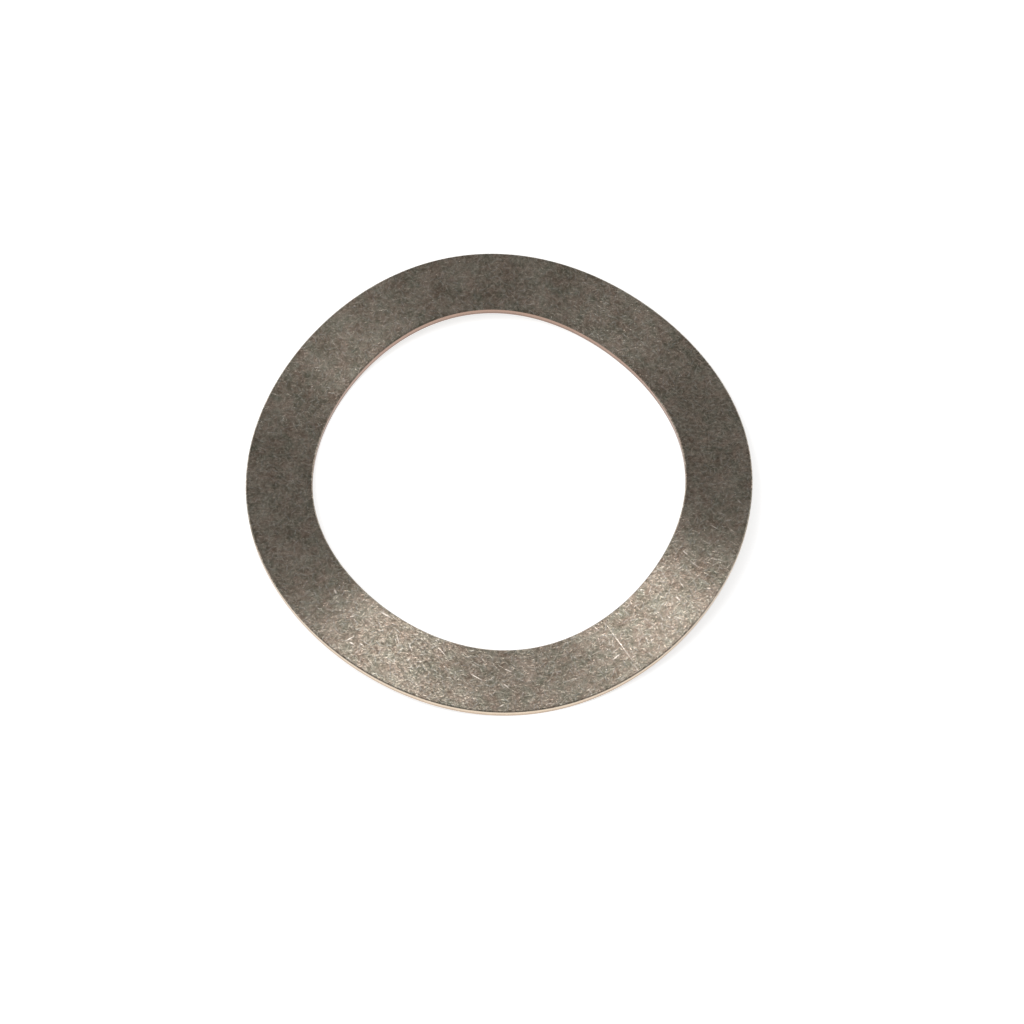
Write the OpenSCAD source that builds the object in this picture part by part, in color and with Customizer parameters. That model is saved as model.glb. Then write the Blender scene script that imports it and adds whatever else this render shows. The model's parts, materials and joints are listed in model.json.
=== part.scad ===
// Wave spring washer: a thin flat ring blanked from spring steel strip, pressed into
// an even wave and tumbled. It lies on its troughs at Z = 0, and the shoulder or
// button that it springs against bears on its crests. The bore's axis is +Z.

/* [Ring] */
// Outside diameter of the ring
outer_d = 22; // [20:0.5:40]
// Bore diameter, which clears the peg
bore_d = 16.2; // [8:0.1:18]

/* [Strip] */
// Thickness of the spring steel strip
strip_t = 0.4; // [0.2:0.05:0.8]
// Width of the bevel that tumbling leaves on every edge
edge_break = 0.05; // [0.02:0.01:0.09]

/* [Wave] */
// Number of whole waves round the ring
waves = 3; // [2:1:6]
// Free height from the troughs' underside to the top of the crests
free_h = 1.38; // [1:0.02:3]
// Direction of one crest, counter-clockwise from +X
crest_angle = 99; // [0:1:179]

/* [Hidden] */
bore_r = bore_d / 2;
outer_r = outer_d / 2;
// Steps along each wave, a multiple of 4 so that steps lie on its crest and trough
wave_steps = 40;
steps = waves * wave_steps;
// Rise from the strip's middle plane to a crest, and the height of that plane
rise = (free_h - strip_t) / 2;
mid_z = free_h / 2;
blank_h = 3 * free_h;
// The seam of the bore and the rim lies between two steps, where no corner meets it
seam_steps = 2.5;

// Height of the strip's middle surface in direction a. It is the same all along a
// radius, as a die with straight radial ridges leaves it.
function middle_z(a) = mid_z + rise * cos(waves * (a - crest_angle));

// Half the strip's height in direction a at radius r: the strip keeps its thickness
// where it slopes, so it is taller there
function half_h(a, r) =
    let (slope = waves * rise * sin(waves * (a - crest_angle)) / r)
        strip_t / 2 * norm([1, slope]);

// Section of the strip in direction a as [radius, height]: two flat faces, and 45
// degree bevels that run on to a sharp lip past the bore and the rim
function section(a) =
    let (bore_h = half_h(a, bore_r), outer_h = half_h(a, outer_r), z = middle_z(a)) [
        [bore_r + edge_break, z - bore_h],
        [outer_r - edge_break, z - outer_h],
        [outer_r - edge_break + outer_h, z],
        [outer_r - edge_break, z + outer_h],
        [bore_r + edge_break, z + bore_h],
        [bore_r + edge_break - bore_h, z]
    ];

// The strip swept once round the axis through its waves, with its lips still sharp
module pressed_strip() {
    n = len(section(0));
    points = [
        for (i = [0:steps - 1])
            let (a = crest_angle + 360 * i / steps)
                for (p = section(a)) [p[0] * cos(a), p[0] * sin(a), p[1]]
    ];
    faces = [
        for (i = [0:steps - 1], k = [0:n - 1])
            let (here = n * i, next = n * ((i + 1) % steps), k2 = (k + 1) % n)
                each [[here + k, here + k2, next + k], [here + k2, next + k2, next + k]]
    ];
    polyhedron(points = points, faces = faces, convexity = 6);
}

// The ring that the blanking punch cuts, tall enough to take in the whole wave
module blank() {
    difference() {
        cylinder(d = outer_d, h = blank_h, center = true, $fn = 180);
        cylinder(d = bore_d, h = 2 * blank_h, center = true, $fn = 180);
    }
}

module wave_washer() {
    color("dimgray")
        intersection() {
            pressed_strip();
            translate([0, 0, mid_z])
                rotate(crest_angle + seam_steps * 360 / steps)
                    blank();
        }
}

wave_washer();
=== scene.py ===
"""Looks of a wave spring washer: a thin ring blanked from spring steel strip, pressed into three waves
and tumbled until it is dull, lying on its troughs on white card under soft overhead light."""

import json
import logging
import math
from dataclasses import dataclass, field
from enum import Enum

import bmesh
import bpy
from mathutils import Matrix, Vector


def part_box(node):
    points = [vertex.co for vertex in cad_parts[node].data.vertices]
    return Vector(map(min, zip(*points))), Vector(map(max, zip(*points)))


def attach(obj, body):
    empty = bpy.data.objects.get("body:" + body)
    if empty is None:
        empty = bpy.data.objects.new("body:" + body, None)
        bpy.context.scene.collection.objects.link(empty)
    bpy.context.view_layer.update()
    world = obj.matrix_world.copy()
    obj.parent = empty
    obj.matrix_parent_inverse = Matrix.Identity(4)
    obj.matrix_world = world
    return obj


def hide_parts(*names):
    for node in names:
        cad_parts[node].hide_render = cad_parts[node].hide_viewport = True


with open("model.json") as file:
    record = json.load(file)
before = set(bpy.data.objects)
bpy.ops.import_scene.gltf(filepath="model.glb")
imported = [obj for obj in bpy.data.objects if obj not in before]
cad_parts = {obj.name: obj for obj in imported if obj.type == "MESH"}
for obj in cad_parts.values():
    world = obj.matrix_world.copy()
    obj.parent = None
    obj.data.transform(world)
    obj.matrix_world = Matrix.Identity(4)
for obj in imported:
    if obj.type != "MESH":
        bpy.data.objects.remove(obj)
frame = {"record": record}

log = logging.getLogger("washer")
NODE = "wave_washer"
MM = 0.001
# The crests' direction, which the strip's height follows both in the mesh and in the edge finish
CREST = math.radians(99)
WAVES = 3
# What a socket takes: another node or one of its outputs, a number, or a vector or colour
Source = bpy.types.Node | bpy.types.NodeSocket | float | tuple


def srgb(code: str) -> tuple[float, float, float, float]:
    """Turn an sRGB hex colour into the linear colour that a socket takes.

    Args:
        code: Six hex digits after a hash.

    Returns:
        Red, green and blue in linear light, and an alpha of 1.
    """
    parts = [int(code[i:i + 2], 16) / 255 for i in (1, 3, 5)]
    linear = [p / 12.92 if p <= 0.04045 else ((p + 0.055) / 1.055) ** 2.4 for p in parts]
    return (linear[0], linear[1], linear[2], 1.0)


@dataclass
class Graph:
    """The node tree of one material, and the place on the piece that its patterns read."""

    name: str
    material: bpy.types.Material = field(init=False)

    def __post_init__(self) -> None:
        """Start the material with an empty tree."""
        self.material = bpy.data.materials.new(self.name)
        self.material.use_nodes = True
        self.material.node_tree.nodes.clear()

    def add(self, kind: str, inputs: dict | None = None, **settings) -> bpy.types.Node:
        """Add one node, with its settings, its socket values and its links.

        Args:
            kind: The node's type without the ShaderNode that all of them start with.
            inputs: Socket name or number to an output socket, to a node, which stands for its first
                output in use, or to a plain value.
            **settings: Attributes of the node itself.

        Returns:
            The new node.
        """
        node = self.material.node_tree.nodes.new("ShaderNode" + kind)
        for name, value in settings.items():
            setattr(node, name, value)
        for name, source in (inputs or {}).items():
            if isinstance(source, bpy.types.Node):
                source = next(out for out in source.outputs if not out.is_unavailable)
            if isinstance(source, bpy.types.NodeSocket):
                self.material.node_tree.links.new(source, node.inputs[name])
            else:
                node.inputs[name].default_value = source
        return node

    def millimetres(self) -> bpy.types.Node:
        """Give the place on the piece in millimetres, so that each pattern's scale is its real size."""
        place = self.add("TexCoord")
        return self.add("Mapping", {"Vector": place.outputs["Object"], "Scale": (1 / MM, 1 / MM, 1 / MM)})

    def math(self, operation: str, *values: Source, clamp: bool = False) -> bpy.types.Node:
        """Work out one sum.

        Args:
            operation: The kind of sum.
            *values: What goes into it, in order.
            clamp: Whether the answer is kept between 0 and 1.

        Returns:
            The new node.
        """
        return self.add("Math", dict(enumerate(values)), operation=operation, use_clamp=clamp)

    def spread(self, value: Source, taken: tuple[float, float] = (0.0, 1.0),
               given: tuple[float, float] = (0.0, 1.0)) -> bpy.types.Node:
        """Spread one range of a value over another, and hold it at that one's ends.

        Args:
            value: The value to spread.
            taken: The two values that become the ends of the new range.
            given: The new range.

        Returns:
            The new node.
        """
        return self.add("MapRange", {"Value": value, "From Min": taken[0], "From Max": taken[1],
                                     "To Min": given[0], "To Max": given[1]})

    def blend(self, share: Source, first: Source, second: Source) -> bpy.types.Node:
        """Blend two colours.

        Args:
            share: How much of the second colour there is, from 0 to 1.
            first: The first colour.
            second: The second colour.

        Returns:
            The new node.
        """
        return self.add("Mix", {"Factor": share, "A": first, "B": second}, data_type="RGBA")

    def noise(self, place: Source, size_mm: float, detail: float, roughness: float = 0.5) -> bpy.types.Node:
        """Scatter soft noise.

        Args:
            place: The place on the piece in millimetres.
            size_mm: Size of its largest features.
            detail: How many times finer features are laid over them.
            roughness: How strong each finer layer is beside the one before.

        Returns:
            The new node.
        """
        return self.add("TexNoise", {"Vector": place, "Scale": 1 / size_mm, "Detail": detail,
                                     "Roughness": roughness})


class Skin(Enum):
    """The surfaces of the blanked strip, each the number of its material slot."""

    FACE = 0
    BORE = 1
    RIM = 2


@dataclass(frozen=True)
class ScratchCrowd:
    """Fine scratches of one size that lie every way, one in each cell of a scattered pattern."""

    cell_mm: float
    length_mm: float
    width_mm: float
    # Share of the cells that hold a scratch
    share: float
    tint: str
    # How far the pattern slides along X and, by this share of it, along Y, so no two crowds' cells meet
    shift_mm: float
    aslant: float = 0.6
    # Power that evens out the crowd's depths, which would else be spread evenly from 0 to 1
    evening: float = 0.5

    def draw(self, graph: Graph, place: bpy.types.Node) -> bpy.types.Node:
        """Draw the scratches.

        Args:
            graph: The material's tree.
            place: The place on the piece in millimetres.

        Returns:
            A node that gives 1 along the bottom of each scratch and falls to 0 at its sides and ends.
        """
        slide = (self.shift_mm, self.aslant * self.shift_mm, 0)
        moved = graph.add("VectorMath", {0: place, 1: slide}, operation="ADD")
        cells = graph.add("TexVoronoi", {"Vector": moved, "Scale": 1 / self.cell_mm},
                          voronoi_dimensions="2D")
        dice = graph.add("SeparateColor", {"Color": cells.outputs["Color"]})
        off = graph.add("VectorMath", {0: moved, 1: cells.outputs["Position"]}, operation="SUBTRACT")
        turn = graph.math("MULTIPLY", dice.outputs[0], 2 * math.pi)
        along = graph.add("VectorRotate", {"Vector": off, "Angle": turn}, rotation_type="Z_AXIS")
        shape = (2 / self.length_mm, 2 / self.width_mm, 0)
        slim = graph.add("VectorMath", {0: along, 1: shape}, operation="MULTIPLY")
        reach = graph.add("VectorMath", {0: slim}, operation="LENGTH")
        groove = graph.math("SUBTRACT", 1.0, reach, clamp=True)
        here = graph.spread(dice.outputs[1], (1 - self.share, 1.0))
        return graph.math("MULTIPLY", groove, graph.math("POWER", here, self.evening))


@dataclass(frozen=True)
class Mark:
    """One scratch that stands out from the crowd, by its middle, length, width and direction, drawn in the
    near-white of its painted glint.
    """

    x_mm: float
    y_mm: float
    length_mm: float
    width_mm: float
    # Its direction, in degrees counter-clockwise from +X
    heading: float
    depth: float = 1.0
    # Half the mark's height, so large that it is drawn alike on crests and in troughs
    tall_mm: float = 1000

    def draw(self, graph: Graph, place: bpy.types.Node) -> bpy.types.Node:
        """Draw the mark as a slim ellipse that fades from its middle line.

        Args:
            graph: The material's tree.
            place: The place on the piece in millimetres.

        Returns:
            A node that gives the mark's depth on its middle line and 0 outside it.
        """
        turned = graph.add("Mapping", {"Vector": place, "Location": (self.x_mm, self.y_mm, 0),
                                       "Rotation": (0, 0, math.radians(self.heading)),
                                       "Scale": (self.length_mm / 2, self.width_mm / 2, self.tall_mm)},
                           vector_type="TEXTURE")
        spot = graph.add("TexGradient", {"Vector": turned}, gradient_type="SPHERICAL")
        return graph.math("MULTIPLY", spot.outputs["Fac"], self.depth)


@dataclass(frozen=True)
class TumbledSpringSteel:
    """Hardened and tempered carbon steel strip after hours in a barrel of abrasive chips.

    It gives the eye a dull, warm grey skin, clouded and full of tiny dents, under a felt of short scratches
    that lie every way and flash where the light glances off them. Tempering leaves faint straw and olive
    tints in the skin.
    """

    name: str = "tumbled_spring_steel"
    # The skin's two depths of grey, the straw and the olive that tempering tints it with, and the near-white
    # of the marks that stand out, partly the bare metal of the scratches and partly their painted glint
    dark: str = "#736b61"
    light: str = "#aa9f93"
    straw: str = "#a88770"
    olive: str = "#878e76"
    glint_colour: str = "#f6eade"
    # Clouds of the two greys, the wide patches that shift them by this share, and the part of the sum that
    # runs from dark to light
    cloud_mm: float = 0.24
    patch_mm: float = 1.2
    patch_share: float = 0.5
    cloud_range: tuple[float, float] = (0.57, 0.93)
    # Blotches of the two tints, the part of their noise that runs from straw to olive, and how much of the
    # skin's colour they make up
    tint_mm: float = 0.50
    tint_range: tuple[float, float] = (0.35, 0.65)
    tint_share: float = 0.24
    # Specks that the tumbling rubbed smooth, among dull ones: their size, the part of their noise that runs
    # from dull to rubbed, and the roughness and the strength of the colour of both kinds
    speck_mm: float = 0.11
    speck_range: tuple[float, float] = (0.36, 0.64)
    speck_roughness: tuple[float, float] = (0.37, 0.23)
    speck_shade: tuple[float, float] = (0.75, 1.45)
    # Dents of the abrasive grit, 0.05 mm in fact, drawn at 0.10 mm so that they show
    grit_mm: float = 0.10
    grit_depth_mm: float = 0.0055
    # Depth of a scratch, and how much of its own tint a fine one takes
    scratch_depth_mm: float = 0.0030
    scratch_share: float = 0.50
    # Width of the band at the bore and the rim where painted shade darkens the faces, for the shade of their
    # roll-over towards the edges, and how dark it gets
    edge_shade_mm: float = 0.20
    edge_painted_shade: float = 0.85
    # Strength of the marks that stand out, which widens the bright floor of each painted glint
    mark_gain: float = 1.6
    crowds: tuple[ScratchCrowd, ...] = (
        ScratchCrowd(0.17, 0.26, 0.080, 0.9, "#d1bfae", 3.1),
        ScratchCrowd(0.22, 0.34, 0.080, 0.9, "#cbc9bc", 17.3),
        ScratchCrowd(0.32, 0.50, 0.070, 0.8, "#c8c5c2", 31.7),
        ScratchCrowd(0.55, 0.80, 0.050, 0.6, "#dfd3c7", 45.9),
        ScratchCrowd(2.20, 2.10, 0.045, 0.4, "#dfd3c7", 58.3),
    )
    # Scratches on the near half only, drawn in near-white: real scratches that carry painted highlights
    marks: tuple[Mark, ...] = (
        Mark(5.16, -7.97, 2.60, 0.06, 123, 0.6),
        Mark(5.84, -9.11, 0.60, 0.06, 122, 0.4),
        Mark(5.00, -8.54, 0.45, 0.10, 37),
        Mark(5.72, -8.57, 0.28, 0.07, 25, 0.6),
        Mark(-6.31, -7.98, 0.50, 0.08, 32),
        Mark(-6.23, -8.18, 0.24, 0.08, 153),
        Mark(-5.81, -8.22, 0.24, 0.08, 148),
        Mark(-6.21, -6.95, 0.28, 0.07, 18, 0.8),
        Mark(-6.96, -5.81, 0.30, 0.10, 115),
        # This one runs along the bore's edge: a painted highlight of the edge's roll-over, not a scratch
        Mark(-4.81, -6.83, 0.65, 0.10, 150, 0.9),
        Mark(-4.28, -7.90, 0.65, 0.06, 104, 0.6),
        Mark(-3.75, -8.23, 0.55, 0.06, 110, 0.7),
        Mark(-2.40, -8.36, 0.50, 0.06, 131),
        Mark(-0.96, -9.42, 0.75, 0.06, 151),
        Mark(0.40, -9.07, 0.45, 0.06, 157),
        Mark(0.32, -9.79, 0.36, 0.06, 140),
        Mark(7.64, -6.06, 0.36, 0.09, 126, 0.7),
        Mark(7.81, -5.43, 0.45, 0.06, 121, 0.6),
        Mark(7.65, -6.92, 0.50, 0.06, 157, 0.6),
        Mark(7.99, -3.97, 0.40, 0.07, 136),
        Mark(8.37, -4.50, 0.90, 0.05, 139, 0.45),
        Mark(9.31, -4.29, 1.10, 0.05, 166, 0.5),
        Mark(9.27, -2.74, 0.50, 0.06, 148, 0.7),
        Mark(10.37, -1.45, 0.30, 0.06, 141, 0.6),
    )

    def skin(self, graph: Graph, place: bpy.types.Node) -> bpy.types.Node:
        """Draw the clouded skin under the scratches, with its tempering tints.

        Args:
            graph: The material's tree.
            place: The place on the piece in millimetres.

        Returns:
            A node that gives the skin's colour.
        """
        cloud = graph.noise(place, self.cloud_mm, detail=3.0, roughness=0.65)
        patch = graph.noise(place, self.patch_mm, detail=1.0)
        deep = graph.math("MULTIPLY_ADD", patch, self.patch_share, cloud)
        colour = graph.blend(graph.spread(deep, self.cloud_range), srgb(self.dark), srgb(self.light))
        # The fourth coordinate gives the tints a noise of their own
        hue = graph.add("TexNoise", {"Vector": place, "Scale": 1 / self.tint_mm, "Detail": 2.0, "W": 7.0},
                        noise_dimensions="4D")
        temper = graph.blend(graph.spread(hue, self.tint_range), srgb(self.straw), srgb(self.olive))
        return graph.blend(self.tint_share, colour, temper)

    def margin(self, graph: Graph, place: bpy.types.Node, bore_r: float, outer_r: float) -> bpy.types.Node:
        """Paint shade on the faces towards the bore and the rim, where they roll over to the edges.

        Args:
            graph: The material's tree.
            place: The place on the piece in millimetres.
            bore_r: Radius of the faces' inner edge, in metres.
            outer_r: Radius of their outer edge, in metres.

        Returns:
            A node that gives 1 between the margins and falls to the painted shade at both edges.
        """
        flat = graph.add("VectorMath", {0: place, 1: (1, 1, 0)}, operation="MULTIPLY")
        reach = graph.add("VectorMath", {0: flat}, operation="LENGTH")
        off = graph.math("ABSOLUTE", graph.math("SUBTRACT", reach, (bore_r + outer_r) / 2 / MM))
        half = (outer_r - bore_r) / 2 / MM
        return graph.spread(off, (half - self.edge_shade_mm, half), (1.0, self.edge_painted_shade))

    def build(self, bore_r: float, outer_r: float) -> bpy.types.Material:
        """Make the material.

        Args:
            bore_r: Radius of the faces' inner edge, in metres.
            outer_r: Radius of their outer edge, in metres.

        Returns:
            The finished material.
        """
        graph = Graph(self.name)
        place = graph.millimetres()
        colour = self.skin(graph, place)
        grooves = 0.0
        for crowd in self.crowds:
            lines = crowd.draw(graph, place)
            colour = graph.blend(graph.math("MULTIPLY", lines, self.scratch_share), colour, srgb(crowd.tint))
            grooves = graph.math("MAXIMUM", grooves, lines)
        scored_and_glinting = 0.0
        for mark in self.marks:
            scored_and_glinting = graph.math("MAXIMUM", scored_and_glinting, mark.draw(graph, place))
        scored_and_glinting = graph.math("MULTIPLY", scored_and_glinting, self.mark_gain, clamp=True)
        rubbed = graph.spread(graph.noise(place, self.speck_mm, detail=2.0, roughness=0.6), self.speck_range)
        # Painted shade at the bore and the rim, times the random tone of the rubbed and dull specks
        edge_shade_and_specks = graph.math("MULTIPLY", self.margin(graph, place, bore_r, outer_r),
                           graph.spread(rubbed, given=self.speck_shade))
        colour = graph.add("VectorMath", {0: colour, "Scale": edge_shade_and_specks}, operation="SCALE")
        # Painted glints: the marks in near-white over the skin
        colour = graph.blend(scored_and_glinting, colour, srgb(self.glint_colour))
        grit = graph.noise(place, self.grit_mm, detail=1.0)
        dents = graph.add("Bump", {"Height": grit, "Distance": self.grit_depth_mm * MM, "Strength": 1.0})
        cut = graph.add("Bump", {"Height": graph.math("MAXIMUM", grooves, scored_and_glinting), "Strength": 1.0,
                                 "Distance": self.scratch_depth_mm * MM, "Normal": dents}, invert=True)
        rough = graph.spread(rubbed, given=self.speck_roughness)
        shader = graph.add("BsdfPrincipled", {"Base Color": colour, "Metallic": 1.0,
                                              "Roughness": rough, "Normal": cut})
        graph.add("OutputMaterial", {"Surface": shader})
        return graph.material


@dataclass(frozen=True)
class ShearedEdge:
    """The strip's edge as the punch leaves it, tumbled: a burnished band over a torn one, tinted bronze.

    It gives the eye a thin line, brighter and warmer than the faces, with fine upright streaks.
    """

    name: str
    burnished: str
    torn: str
    roughness: float = 0.36
    # Streaks of the punch's travel, 0.02 mm in fact, drawn at 0.06 mm so that they show. The scale of the
    # pattern along the bore's axis is this much smaller, which draws them out upright.
    streak_mm: float = 0.06
    streak_scale_z: float = 0.12
    streak_depth_mm: float = 0.004
    # Height over the strip's middle where the burnished band ends, how far the streaks tear that border up
    # and down, and half the width over which it blurs
    tear_mm: float = -0.02
    ragged_mm: float = 0.16
    blur_mm: float = 0.04

    def build(self, middle: float, rise: float) -> bpy.types.Material:
        """Make the material.

        Args:
            middle: Height of the middle plane of the waves, in metres.
            rise: Rise of a crest over that plane, in metres.

        Returns:
            The finished material.
        """
        graph = Graph(self.name)
        place = graph.millimetres()
        parts = graph.add("SeparateXYZ", {"Vector": place})
        angle = graph.math("ARCTAN2", parts.outputs["Y"], parts.outputs["X"])
        wave = graph.math("COSINE", graph.math("MULTIPLY_ADD", angle, WAVES, -WAVES * CREST))
        level = graph.math("MULTIPLY_ADD", wave, rise / MM, middle / MM)
        height = graph.math("SUBTRACT", parts.outputs["Z"], level)
        drawn = graph.add("Mapping", {"Vector": place, "Scale": (1, 1, self.streak_scale_z)})
        streaks = graph.noise(drawn, self.streak_mm, detail=2.0)
        ragged = graph.math("MULTIPLY_ADD", streaks, self.ragged_mm, height)
        border = self.tear_mm + self.ragged_mm / 2
        upper = graph.spread(ragged, (border - self.blur_mm, border + self.blur_mm))
        colour = graph.blend(upper, srgb(self.torn), srgb(self.burnished))
        fine = graph.add("Bump", {"Height": streaks, "Distance": self.streak_depth_mm * MM, "Strength": 1.0})
        shader = graph.add("BsdfPrincipled", {"Base Color": colour, "Metallic": 1.0,
                                              "Roughness": self.roughness, "Normal": fine})
        graph.add("OutputMaterial", {"Surface": shader})
        return graph.material


@dataclass
class WaveWasher:
    """The pressed ring, modelled as it is made: blanked flat, pressed into its waves, given its thickness
    and broken at the edges."""

    outer_r: float
    bore_r: float
    free_h: float
    strip_t: float = 0.4 * MM
    edge_r: float = 0.045 * MM
    # Keeps rounding in the last digit from taking the ring outside the CAD model's box
    hair: float = 0.0001 * MM
    spokes: int = 720
    bands: int = 8
    # A row of vertices this far from each edge keeps the faces' shading flat up to the rounding
    margin: float = 0.08 * MM
    # Corners sharper than this are broken, and faces steeper than this are sheared edges
    steep: float = math.radians(60)
    # Corners blunter than this are shaded smooth
    crease: float = math.radians(30)
    piece: bpy.types.Object = field(init=False)

    @property
    def rise(self) -> float:
        """Rise of a crest over the strip's middle plane."""
        return (self.free_h - self.strip_t) / 2

    def blank(self) -> None:
        """Blank the flat ring: the bore's circle, drawn out to the rim band by band."""
        bpy.ops.object.select_all(action="DESELECT")
        bpy.ops.mesh.primitive_circle_add(vertices=self.spokes, radius=self.bore_r, fill_type="NOTHING",
                                          location=(0, 0, self.free_h / 2))
        self.piece = bpy.context.active_object
        self.piece.name = "pressed_ring"
        self.piece.data.name = "pressed_ring"
        bpy.ops.object.transform_apply(location=True)
        bpy.ops.object.mode_set(mode="EDIT")
        bpy.ops.mesh.select_all(action="SELECT")
        rim = self.outer_r - self.hair
        inside, outside = self.bore_r + self.margin, rim - self.margin
        rows = [inside + (outside - inside) * band / self.bands for band in range(self.bands + 1)] + [rim]
        radius = self.bore_r
        for wider in rows:
            bpy.ops.mesh.extrude_region_move()
            bpy.ops.transform.resize(value=(wider / radius, wider / radius, 1), center_override=(0, 0, 0))
            radius = wider

    def press(self) -> None:
        """Press the waves: all the spokes that end at one height are lifted or lowered together."""
        sheet = bmesh.from_edit_mesh(self.piece.data)
        pitch = self.spokes // WAVES
        levels: dict[int, list[int]] = {}
        for vertex in sheet.verts:
            turn = math.atan2(vertex.co.y, vertex.co.x) - CREST
            spoke = round(turn / (2 * math.pi) * self.spokes) % pitch
            levels.setdefault(min(spoke, pitch - spoke), []).append(vertex.index)
        for level, members in levels.items():
            bpy.ops.mesh.select_all(action="DESELECT")
            sheet = bmesh.from_edit_mesh(self.piece.data)
            sheet.verts.ensure_lookup_table()
            for index in members:
                sheet.verts[index].select_set(True)
            sheet.select_flush(True)
            bmesh.update_edit_mesh(self.piece.data)
            bpy.ops.transform.translate(value=(0, 0, self.rise * math.cos(2 * math.pi * level / pitch)))
        bpy.ops.object.mode_set(mode="OBJECT")

    def thicken(self) -> None:
        """Give the sheet its thickness about its middle, and break every edge as tumbling does."""
        wall = self.piece.modifiers.new("strip", "SOLIDIFY")
        wall.thickness = self.strip_t
        wall.offset = 0
        edge = self.piece.modifiers.new("edges", "BEVEL")
        edge.width = self.edge_r
        edge.segments = 1
        edge.angle_limit = self.steep
        for modifier in (wall, edge):
            bpy.ops.object.modifier_apply(modifier=modifier.name)
        bpy.ops.object.mode_set(mode="EDIT")
        bpy.ops.mesh.select_all(action="SELECT")
        bpy.ops.mesh.normals_make_consistent(inside=False)
        bpy.ops.object.mode_set(mode="OBJECT")
        bpy.ops.object.shade_smooth_by_angle(angle=self.crease)

    def dress(self) -> None:
        """Give the faces and the sheared edges their finishes."""
        middle = self.free_h / 2
        finishes = {Skin.FACE: TumbledSpringSteel().build(self.bore_r, self.outer_r),
                    # The bore's edge takes darker colours than the rim's: painted shade of the shadowed
                    # inside of the ring
                    Skin.BORE: ShearedEdge("sheared_bore_shaded", "#ad9080", "#927a6d").build(middle, self.rise),
                    Skin.RIM: ShearedEdge("sheared_rim", "#dbc9b3", "#bfa993").build(middle, self.rise)}
        self.piece.data.materials.clear()
        for skin in Skin:
            self.piece.data.materials.append(finishes[skin])
        for polygon in self.piece.data.polygons:
            upright = abs(polygon.normal.z) < math.cos(self.steep)
            inside = polygon.center.xy.length < (self.bore_r + self.outer_r) / 2
            skin = (Skin.BORE if inside else Skin.RIM) if upright else Skin.FACE
            polygon.material_index = skin.value

    def build(self) -> bpy.types.Object:
        """Model and dress the washer, and fix it to the frame.

        Returns:
            The finished piece.
        """
        self.blank()
        self.press()
        self.thicken()
        self.dress()
        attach(self.piece, "root")
        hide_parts(NODE)
        log.info("%s: %d faces", self.piece.name, len(self.piece.data.polygons))
        return self.piece


@dataclass(frozen=True)
class WhiteCard:
    """Matt white card under the ring and in a wall all round it, which gives the eye an even white ground
    from every side and keeps a faint shadow."""

    name: str = "matt_white_card"
    half_side: float = 1.5
    wall_r: float = 1.45
    wall_h: float = 0.40
    wall_sides: int = 96
    colour: str = "#c0c0c0"
    # Light that the card gives to the camera and to reflections alone, which lifts it to white. It grows
    # between these distances from the ring, because the lamps' light falls off there.
    near_lift: float = 0.72
    far_lift: float = 0.92
    near: float = 30 * MM
    far: float = 120 * MM

    def paper(self) -> bpy.types.Material:
        """Make the card's material.

        Returns:
            The finished material.
        """
        graph = Graph(self.name)
        place = graph.add("TexCoord")
        reach = graph.add("VectorMath", {0: place.outputs["Object"]}, operation="LENGTH")
        lift = graph.spread(reach, (self.near, self.far), (self.near_lift, self.far_lift))
        path = graph.add("LightPath")
        seen = graph.math("MAXIMUM", path.outputs["Is Camera Ray"], path.outputs["Is Glossy Ray"])
        seen = graph.math("MAXIMUM", seen, path.outputs["Is Transmission Ray"])
        power = graph.math("MULTIPLY", seen, lift)
        matt = graph.add("BsdfDiffuse", {"Color": srgb(self.colour)})
        glow = graph.add("Emission", {"Strength": power})
        both = graph.add("AddShader", {0: matt, 1: glow})
        graph.add("OutputMaterial", {"Surface": both})
        return graph.material

    def build(self) -> None:
        """Lay the card under the troughs, and stand its wall round the studio."""
        material = self.paper()
        bpy.ops.object.select_all(action="DESELECT")
        bpy.ops.mesh.primitive_plane_add(size=2 * self.half_side, location=(0, 0, 0))
        card = bpy.context.active_object
        card.name = "white_card"
        bpy.ops.mesh.primitive_cylinder_add(vertices=self.wall_sides, radius=self.wall_r,
                                            depth=self.wall_h, end_fill_type="NOTHING",
                                            location=(0, 0, self.wall_h / 2))
        wall = bpy.context.active_object
        wall.name = "white_wall"
        bpy.ops.object.transform_apply(location=True)
        for sheet in (card, wall):
            sheet.data.materials.append(material)
            log.info("%s stands", sheet.name)


@dataclass(frozen=True)
class Camera:
    """The photograph's view: a long lens that looks well down on the ring from in front."""

    elevation: float = math.radians(62.5)
    distance: float = 158.4 * MM
    clip_near: float = 1 * MM
    clip_far: float = 10
    lens_mm: float = 128.1
    sensor_mm: float = 36.0
    shift_x: float = 0.0129
    shift_y: float = -0.0332

    def build(self, target: Vector) -> bpy.types.Object:
        """Set the camera.

        Args:
            target: The middle of the ring.

        Returns:
            The camera.
        """
        data = bpy.data.cameras.new("camera")
        data.lens = self.lens_mm
        data.sensor_width = self.sensor_mm
        data.shift_x = self.shift_x
        data.shift_y = self.shift_y
        data.clip_start = self.clip_near
        data.clip_end = self.clip_far
        camera = bpy.data.objects.new("camera", data)
        bpy.context.scene.collection.objects.link(camera)
        back = Vector((0, -math.cos(self.elevation), math.sin(self.elevation)))
        camera.location = target + back * self.distance
        camera.rotation_euler = (math.pi / 2 - self.elevation, 0, 0)
        bpy.context.scene.camera = camera
        return camera


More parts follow.
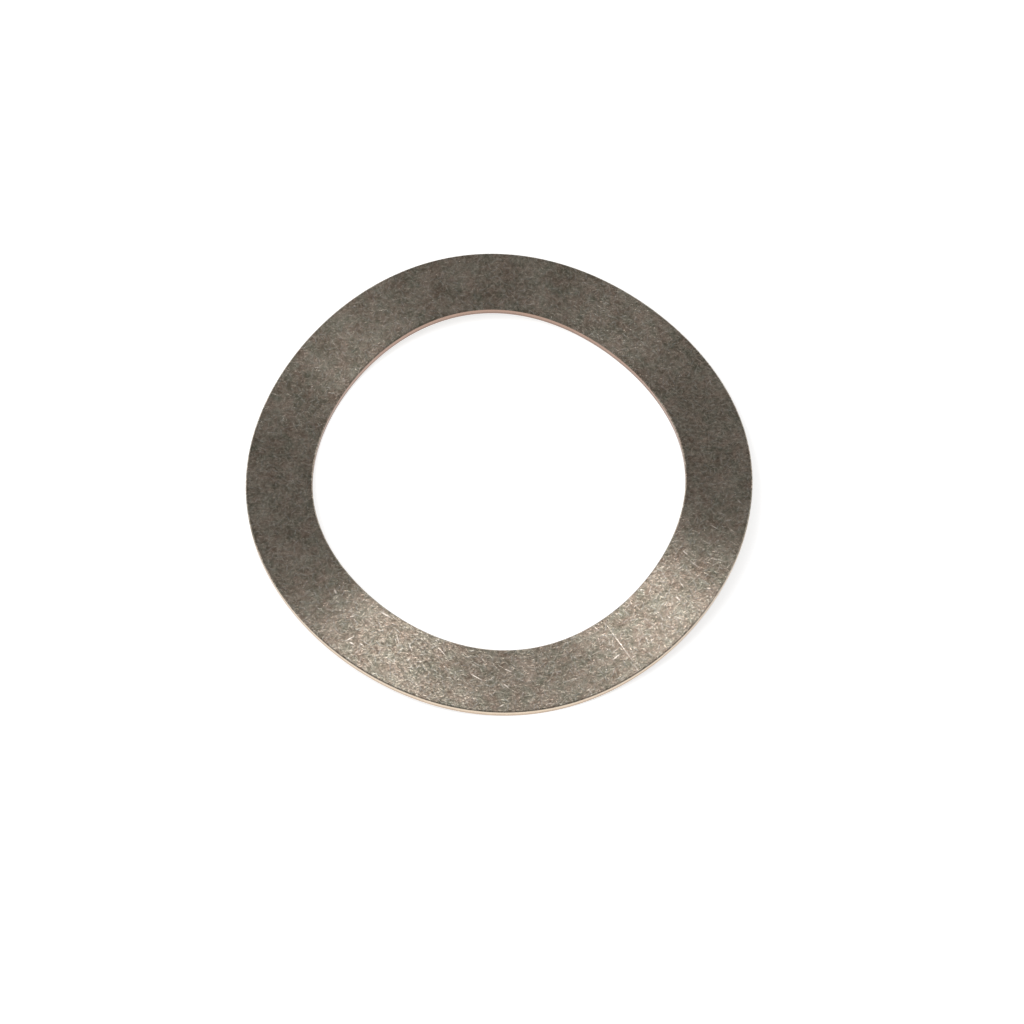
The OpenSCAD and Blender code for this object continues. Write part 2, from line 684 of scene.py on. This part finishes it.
@dataclass(frozen=True)
class Softbox:
    """One square lamp that faces the ring, from a direction in degrees and a distance in metres."""

    name: str
    azimuth: float
    elevation: float
    distance: float
    side: float
    # Light on the card at the middle of the ring, where 1 is what makes white card white
    level: float

    def build(self, target: Vector) -> bpy.types.Object:
        """Hang the lamp.

        Args:
            target: The point that the lamp faces.

        Returns:
            The lamp.
        """
        data = bpy.data.lights.new(self.name, "AREA")
        data.size = self.side
        a, e = math.radians(self.azimuth), math.radians(self.elevation)
        # An area lamp of this power sends power / pi squared / distance squared straight ahead
        data.energy = self.level * math.pi ** 2 * self.distance ** 2 / math.sin(e)
        lamp = bpy.data.objects.new(self.name, data)
        bpy.context.scene.collection.objects.link(lamp)
        out = Vector((math.cos(a) * math.cos(e), math.sin(a) * math.cos(e), math.sin(e)))
        lamp.location = target + out * self.distance
        lamp.rotation_euler = out.to_track_quat("Z", "Y").to_euler()
        lamp.visible_camera = False
        return lamp


def light_world(strength: float) -> None:
    """Fill the studio with an even pale light.

    Args:
        strength: Radiance of the fill, where 1 is white.
    """
    world = bpy.data.worlds.new("studio")
    world.use_nodes = True
    world.node_tree.nodes["Background"].inputs["Color"].default_value = (1, 1, 1, 1)
    world.node_tree.nodes["Background"].inputs["Strength"].default_value = strength
    bpy.context.scene.world = world


def main() -> None:
    """Build the washer, its card, its lamps and the camera."""
    logging.basicConfig(level=logging.INFO, format="%(name)s: %(message)s")
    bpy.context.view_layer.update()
    low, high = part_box(NODE)
    bore = next(mount for mount in frame["record"]["mounts"] if mount["name"] == "bore")
    washer = WaveWasher(outer_r=(high.x - low.x) / 2, bore_r=bore["dims"]["r_mm"] * MM,
                        free_h=high.z - low.z)
    washer.build()
    WhiteCard().build()
    middle = Vector((0, 0, washer.free_h / 2))
    Camera().build(middle)
    light_world(strength=0.25)
    Softbox("left_softbox", azimuth=210, elevation=65, distance=0.10, side=0.05, level=0.60).build(middle)
    Softbox("right_softbox", azimuth=0, elevation=80, distance=0.10, side=0.05, level=0.15).build(middle)
    bpy.context.scene.view_settings.view_transform = "Standard"


if __name__ == "__main__":
    main()
